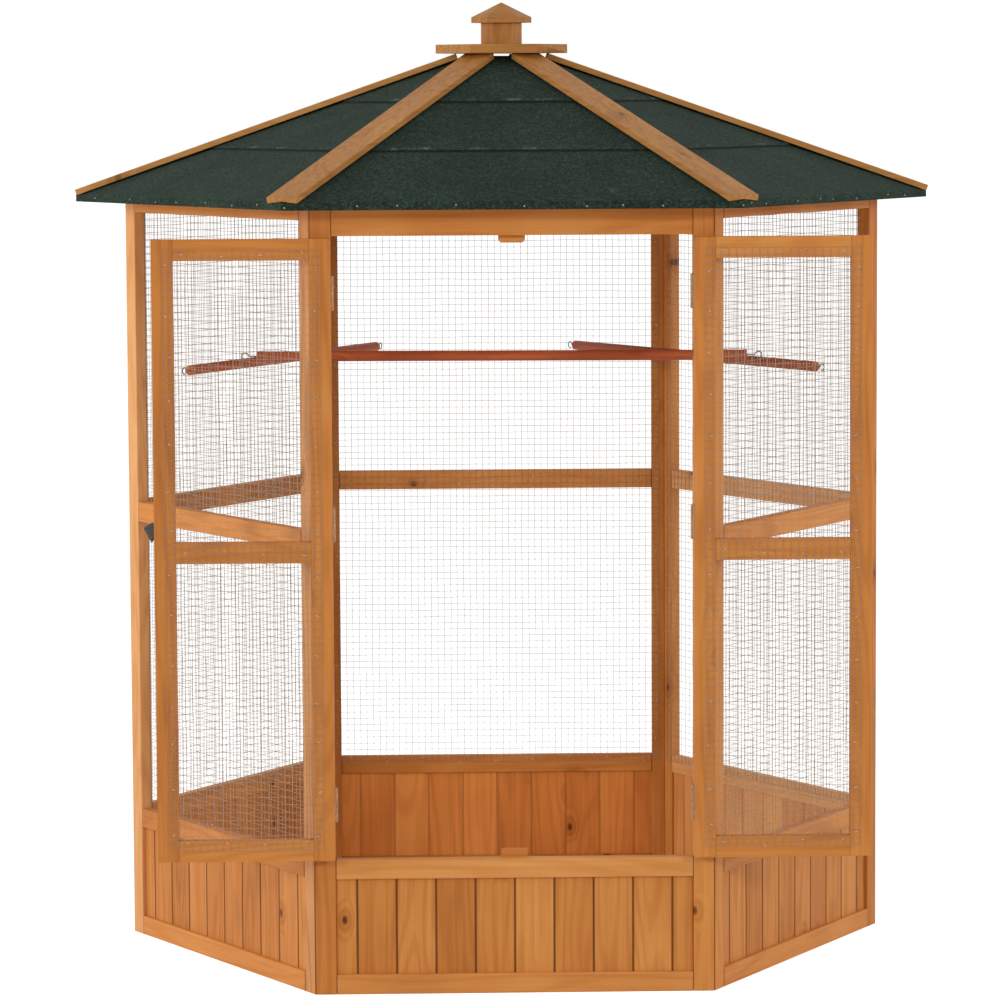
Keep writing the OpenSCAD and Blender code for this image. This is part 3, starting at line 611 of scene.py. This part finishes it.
# the colour of the pale streaks above each lap
FELT_LAP_PALE = "#8C958C"
# how far from the roof's middle the laps lie, how far below a lap its line of painted shadow is, and
# how far above it the pale streaks are
LAPS = (0.4627, 0.2604)
LAP_SHADOW_LINE = 0.002
LAP_PALE_REACH = 0.007
GRIT = 0.00303
# how many blotches and rubbed patches there are in a metre
BLOTCHES = 7.0
RUBS = 23.0


def mineral_felt(name):
    mat, tree, shader, spot = new_material(name)
    # distance from the roof's middle, measured square to each eave
    reach = None
    for wall in WALLS[:3]:
        square = (math.sin(TURN[wall]), -math.cos(TURN[wall]), 0)
        measure = add(tree, "ShaderNodeVectorMath", {0: spot, 1: square}, operation="DOT_PRODUCT")
        length = add(tree, "ShaderNodeMath", {0: measure.outputs["Value"]}, operation="ABSOLUTE")
        if reach is None:
            reach = length
        else:
            reach = add(tree, "ShaderNodeMath", {0: reach.outputs[0], 1: length.outputs[0]},
                        operation="MAXIMUM")
    # grit is about 1.5 mm on the real felt, and is drawn at 3 mm so that it shows
    grit = add(tree, "ShaderNodeTexVoronoi", {"Vector": spot, "Scale": 1 / GRIT})
    speck = add(tree, "ShaderNodeSeparateColor", {0: grit.outputs["Color"]})
    cloud = add(tree, "ShaderNodeTexNoise", {
        "Vector": spot, "Scale": BLOTCHES, "Detail": 5.0, "Roughness": 0.6})
    shade = add(tree, "ShaderNodeMath", {0: speck.outputs[0], 1: 0.75, 2: -0.25}, operation="MULTIPLY_ADD")
    mottled = add(tree, "ShaderNodeMath", {0: cloud.outputs[0], 1: 0.6, 2: shade.outputs[0]},
                  operation="MULTIPLY_ADD")
    ramp = add(tree, "ShaderNodeValToRGB", {0: mottled.outputs[0]})
    ramp.color_ramp.elements[0].color = linear(FELT[0])
    ramp.color_ramp.elements[1].color = linear(FELT[2])
    ramp.color_ramp.elements.new(0.5).color = linear(FELT[1])
    # a line of painted shadow just below each lap, where the upper course overhangs the lower one
    seam_shade = None
    for lap in LAPS:
        off = add(tree, "ShaderNodeMath", {0: reach.outputs[0], 1: -lap - LAP_SHADOW_LINE}, operation="ADD")
        near = add(tree, "ShaderNodeMath", {0: off.outputs[0]}, operation="ABSOLUTE")
        line = add(tree, "ShaderNodeMapRange", {0: near.outputs[0], 1: 0.005, 2: 0.001, 4: 0.75})
        if seam_shade is None:
            seam_shade = line
        else:
            seam_shade = add(tree, "ShaderNodeMath", {0: seam_shade.outputs[0], 1: line.outputs[0]}, operation="MAXIMUM")
    lapped = add(tree, "ShaderNodeMix", {0: seam_shade.outputs[0], 6: ramp.outputs[0], 7: linear(FELT_LAP_SHADOW)},
                 data_type="RGBA")
    rub = add(tree, "ShaderNodeTexNoise", {"Vector": spot, "Scale": RUBS, "Detail": 6.0, "Roughness": 0.7})
    worn = add(tree, "ShaderNodeMapRange", {0: rub.outputs[0], 1: 0.66, 2: 0.78, 4: 0.4})
    rubbed = add(tree, "ShaderNodeMix", {0: worn.outputs[0], 6: lapped.outputs[2], 7: linear(FELT_RUBBED)},
                 data_type="RGBA")
    # the felt is paler in short streaks along the upper edge of each lap
    for lap in LAPS:
        off = add(tree, "ShaderNodeMath", {0: reach.outputs[0], 1: LAP_PALE_REACH - lap}, operation="ADD")
        near = add(tree, "ShaderNodeMath", {0: off.outputs[0]}, operation="ABSOLUTE")
        band = add(tree, "ShaderNodeMapRange", {0: near.outputs[0], 1: 0.007, 2: 0.002})
        streak = add(tree, "ShaderNodeMapRange", {0: rub.outputs[0], 1: 0.53, 2: 0.68, 4: 0.55})
        lap_pale = add(tree, "ShaderNodeMath", {0: band.outputs[0], 1: streak.outputs[0]}, operation="MULTIPLY")
        rubbed = add(tree, "ShaderNodeMix", {
            0: lap_pale.outputs[0], 6: rubbed.outputs[2], 7: linear(FELT_LAP_PALE)}, data_type="RGBA")
    tree.links.new(rubbed.outputs[2], shader.inputs["Base Color"])
    shader.inputs["Roughness"].default_value = 0.92
    shader.inputs["Specular IOR Level"].default_value = 0.15
    relief = add(tree, "ShaderNodeBump", {"Height": speck.outputs[0], "Strength": 0.5, "Distance": 0.001})
    tree.links.new(relief.outputs[0], shader.inputs["Normal"])
    return mat


felt = mineral_felt("green mineral felt")
for wall in WALLS:
    finish_node("roof_felt_" + wall, felt)

# Hip battens: flat stained battens that cover the joints of the felt on the roof's six corners,
# each nailed down through the felt with two nails near the top and two near the eave.
BATTEN = ("#CF9859", "#B97F40", "#955E2A", "#5E3A1A")
finish_node("hip_battens", stained_timber("stained batten timber", "hip", 0.0, board=1.0, seed=53,
                                          stain=BATTEN))
ease_edges("hip_battens", 0.0012)

# Nails: small galvanised nails through the felt where it is folded down over the eaves, and a pair
# near each end of a batten. Their heads lie flat on what they hold down.
EAVE_EDGE = 1.3400
FELT_NAILS = 9
FELT_NAIL_GAP = 0.09
FELT_NAIL_SIDEWAYS = 0.04
FELT_NAIL_UP = 0.002
BATTEN_NAILS_OUT = (0.158, 0.690)
BATTEN_NAILS_ACROSS = (-0.015, 0.015)
BATTEN_NAIL_ALONG = 0.012
# nails are driven towards the roof from places well outside and above it, and bite a little
OUTSIDE = -0.9
ABOVE = 3
BITE = 0.0001
nail, given = new_group("nail head", {
    "Geometry": "Geometry", "Head": "Float", "Rise": "Float", "Finish": "Material"})
crown = add(nail, "ShaderNodeMath", {0: given["Head"], 1: 0.65}, operation="MULTIPLY")
head = add(nail, "GeometryNodeMeshCone", {
    "Vertices": 10, "Radius Top": crown.outputs[0], "Radius Bottom": given["Head"], "Depth": given["Rise"]})
facing = add(nail, "GeometryNodeInputNamedAttribute", {"Name": "facing"}, data_type="FLOAT_VECTOR")
driven = add(nail, "GeometryNodeInstanceOnPoints", {
    "Points": given["Geometry"], "Instance": head.outputs[0], "Rotation": facing.outputs["Attribute"]})
whole = add(nail, "GeometryNodeRealizeInstances", {0: driven.outputs[0]})
zinced = add(nail, "GeometryNodeSetMaterial", {"Geometry": whole.outputs[0], "Material": given["Finish"]})
add(nail, "NodeGroupOutput", {0: zinced.outputs[0]})


def nail_at(points, facings, name, start, way):
    # the point where a line meets a solid, and the way its surface faces there
    hit, spot, normal, _ = nodes[name].ray_cast(Vector(start), Vector(way))
    if hit:
        points.append(spot - normal * BITE)
        facings.append(tuple(normal.to_track_quat("Z", "Y").to_euler()))


galvanised = dull_metal("galvanised nail heads", "#B4B5AE", "#868A83", metallic=0.5, rough=0.4, grit=0.004)
points, facings = [], []
for wall in WALLS:
    about = Matrix.Rotation(TURN[wall], 3, "Z")
    for n in range(FELT_NAILS):
        x = FELT_NAIL_GAP * (n - (FELT_NAILS - 1) / 2)
        x += hand.uniform(-FELT_NAIL_SIDEWAYS, FELT_NAIL_SIDEWAYS)
        z = EAVE_EDGE + hand.uniform(-FELT_NAIL_UP, FELT_NAIL_UP)
        start = about @ Vector((x, OUTSIDE, z))
        nail_at(points, facings, "roof_felt_" + wall, start, about @ Vector((0, 1, 0)))
piece = grown(nail, "felt_nails", {"Head": 0.0015, "Rise": 0.0006, "Finish": galvanised}, points, facings)
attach(piece, "cage")
points, facings = [], []
for wall in WALLS:
    about = Matrix.Rotation(TURN[wall], 3, "Z")
    for distance in BATTEN_NAILS_OUT:
        for across in BATTEN_NAILS_ACROSS:
            x = distance + hand.uniform(-BATTEN_NAIL_ALONG, BATTEN_NAIL_ALONG)
            start = about @ Vector((x, across, ABOVE))
            nail_at(points, facings, "hip_battens", start, (0, 0, -1))
piece = grown(nail, "batten_nails", {"Head": 0.0020, "Rise": 0.0005, "Finish": galvanised}, points, facings)
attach(piece, "cage")

# Finial: a flat six-sided plate over the ends of the battens, a short six-sided neck, and a cap
# with a low pyramid on top, all cut out of stained softwood offcuts.
for name, grain, board, seed, ease in (("plate", "level", 0.3, 61, 0.0015), ("neck", "up", 0.5, 62, 0.001),
                                       ("cap", "level", 0.5, 63, 0.001)):
    finish_node("finial_" + name, stained_timber("stained " + name + " timber", grain, 0.0, board, seed,
                                                 BATTEN))
    ease_edges("finial_" + name, ease)

# Perches: three round hardwood rods in a red-brown stain that lies thick on them, so the grain is
# faint. One runs across the doorway, and one along each side.
ROD = ("#CA6E43", "#AC532D", "#82381A", "#5A2212")
for name, turn, seed in (("front_perch", -2.833, 71), ("left_perch", 63.976, 72),
                         ("right_perch", 120.0, 73)):
    finish_node(name, stained_timber("red stained " + name, "level", math.radians(turn), board=0.5,
                                     seed=seed, stain=ROD))
    ease_edges(name, 0.0015)

# Perch hooks: bent zinc wire, screwed into the end of a rod and hooked over a wire of the net, so
# that the rod can be lifted off by hand.
finish_node("perch_hooks", dull_metal("bent hook wire", "#7C7A73", "#4E4C47", metallic=0.6, rough=0.35,
                                      grit=0.004))

# Studio: a plain pale floor that keeps a soft shadow, a white surround, a large soft lamp on each
# side that lights the corner panels most, and two smaller ones in front of the corners.
FLOOR = [(-30, -30, 0), (30, -30, 0), (30, 60, 0), (-30, 60, 0)]
FLOOR_GLOW = 0.72
SKY_LIGHT = 0.5
SKY_SHOWN = 1.0
WHITE = (1, 1, 1, 1)
PAPER = (0.8, 0.8, 0.8, 1)
LAMP_AIM = Vector((0, 0, 0.8))


def shown_white(tree):
    # 1 where the surround is seen, also in a reflection or through glass, and 0 where it only lights
    ray = add(tree, "ShaderNodeLightPath").outputs
    direct = add(tree, "ShaderNodeMath", {0: ray["Is Camera Ray"], 1: ray["Is Glossy Ray"]},
                 operation="MAXIMUM")
    return add(tree, "ShaderNodeMath", {0: direct.outputs[0], 1: ray["Is Transmission Ray"]},
               operation="MAXIMUM").outputs[0]


floor = bpy.data.objects.new("floor", bpy.data.meshes.new("floor"))
floor.data.from_pydata(FLOOR, [], [(0, 1, 2, 3)])
scene.collection.objects.link(floor)
pale = bpy.data.materials.new("pale floor paper")
pale.use_nodes = True
tree = pale.node_tree
tree.nodes.remove(tree.nodes["Principled BSDF"])
glow = add(tree, "ShaderNodeMath", {0: shown_white(tree), 1: FLOOR_GLOW}, operation="MULTIPLY")
lit = add(tree, "ShaderNodeEmission", {"Color": WHITE, "Strength": glow.outputs[0]})
paper = add(tree, "ShaderNodeBsdfDiffuse", {"Color": PAPER})
both = add(tree, "ShaderNodeAddShader", {0: lit.outputs[0], 1: paper.outputs[0]})
tree.links.new(both.outputs[0], tree.nodes["Material Output"].inputs["Surface"])
floor.data.materials.append(pale)

world = bpy.data.worlds.new("white surround")
scene.world = world
world.use_nodes = True
tree = world.node_tree
strength = add(tree, "ShaderNodeMapRange", {0: shown_white(tree), 3: SKY_LIGHT, 4: SKY_SHOWN})
sky = tree.nodes["Background"]
sky.inputs["Color"].default_value = WHITE
tree.links.new(strength.outputs[0], sky.inputs["Strength"])


def soft_lamp(name, place, size, power):
    lamp = bpy.data.objects.new(name, bpy.data.lights.new(name, "AREA"))
    scene.collection.objects.link(lamp)
    lamp.data.size = size
    lamp.data.energy = power
    lamp.location = place
    lamp.rotation_euler = (LAMP_AIM - Vector(place)).to_track_quat("-Z", "Y").to_euler()


soft_lamp("left lamp", (-4.2, -0.9, 2.0), size=2.4, power=80)
soft_lamp("right lamp", (4.2, -1.2, 2.0), size=2.4, power=40)
soft_lamp("front left lamp", (-3.9, -5.4, 2.5), size=0.7, power=66)
soft_lamp("front right lamp", (3.9, -5.4, 2.5), size=0.7, power=77)
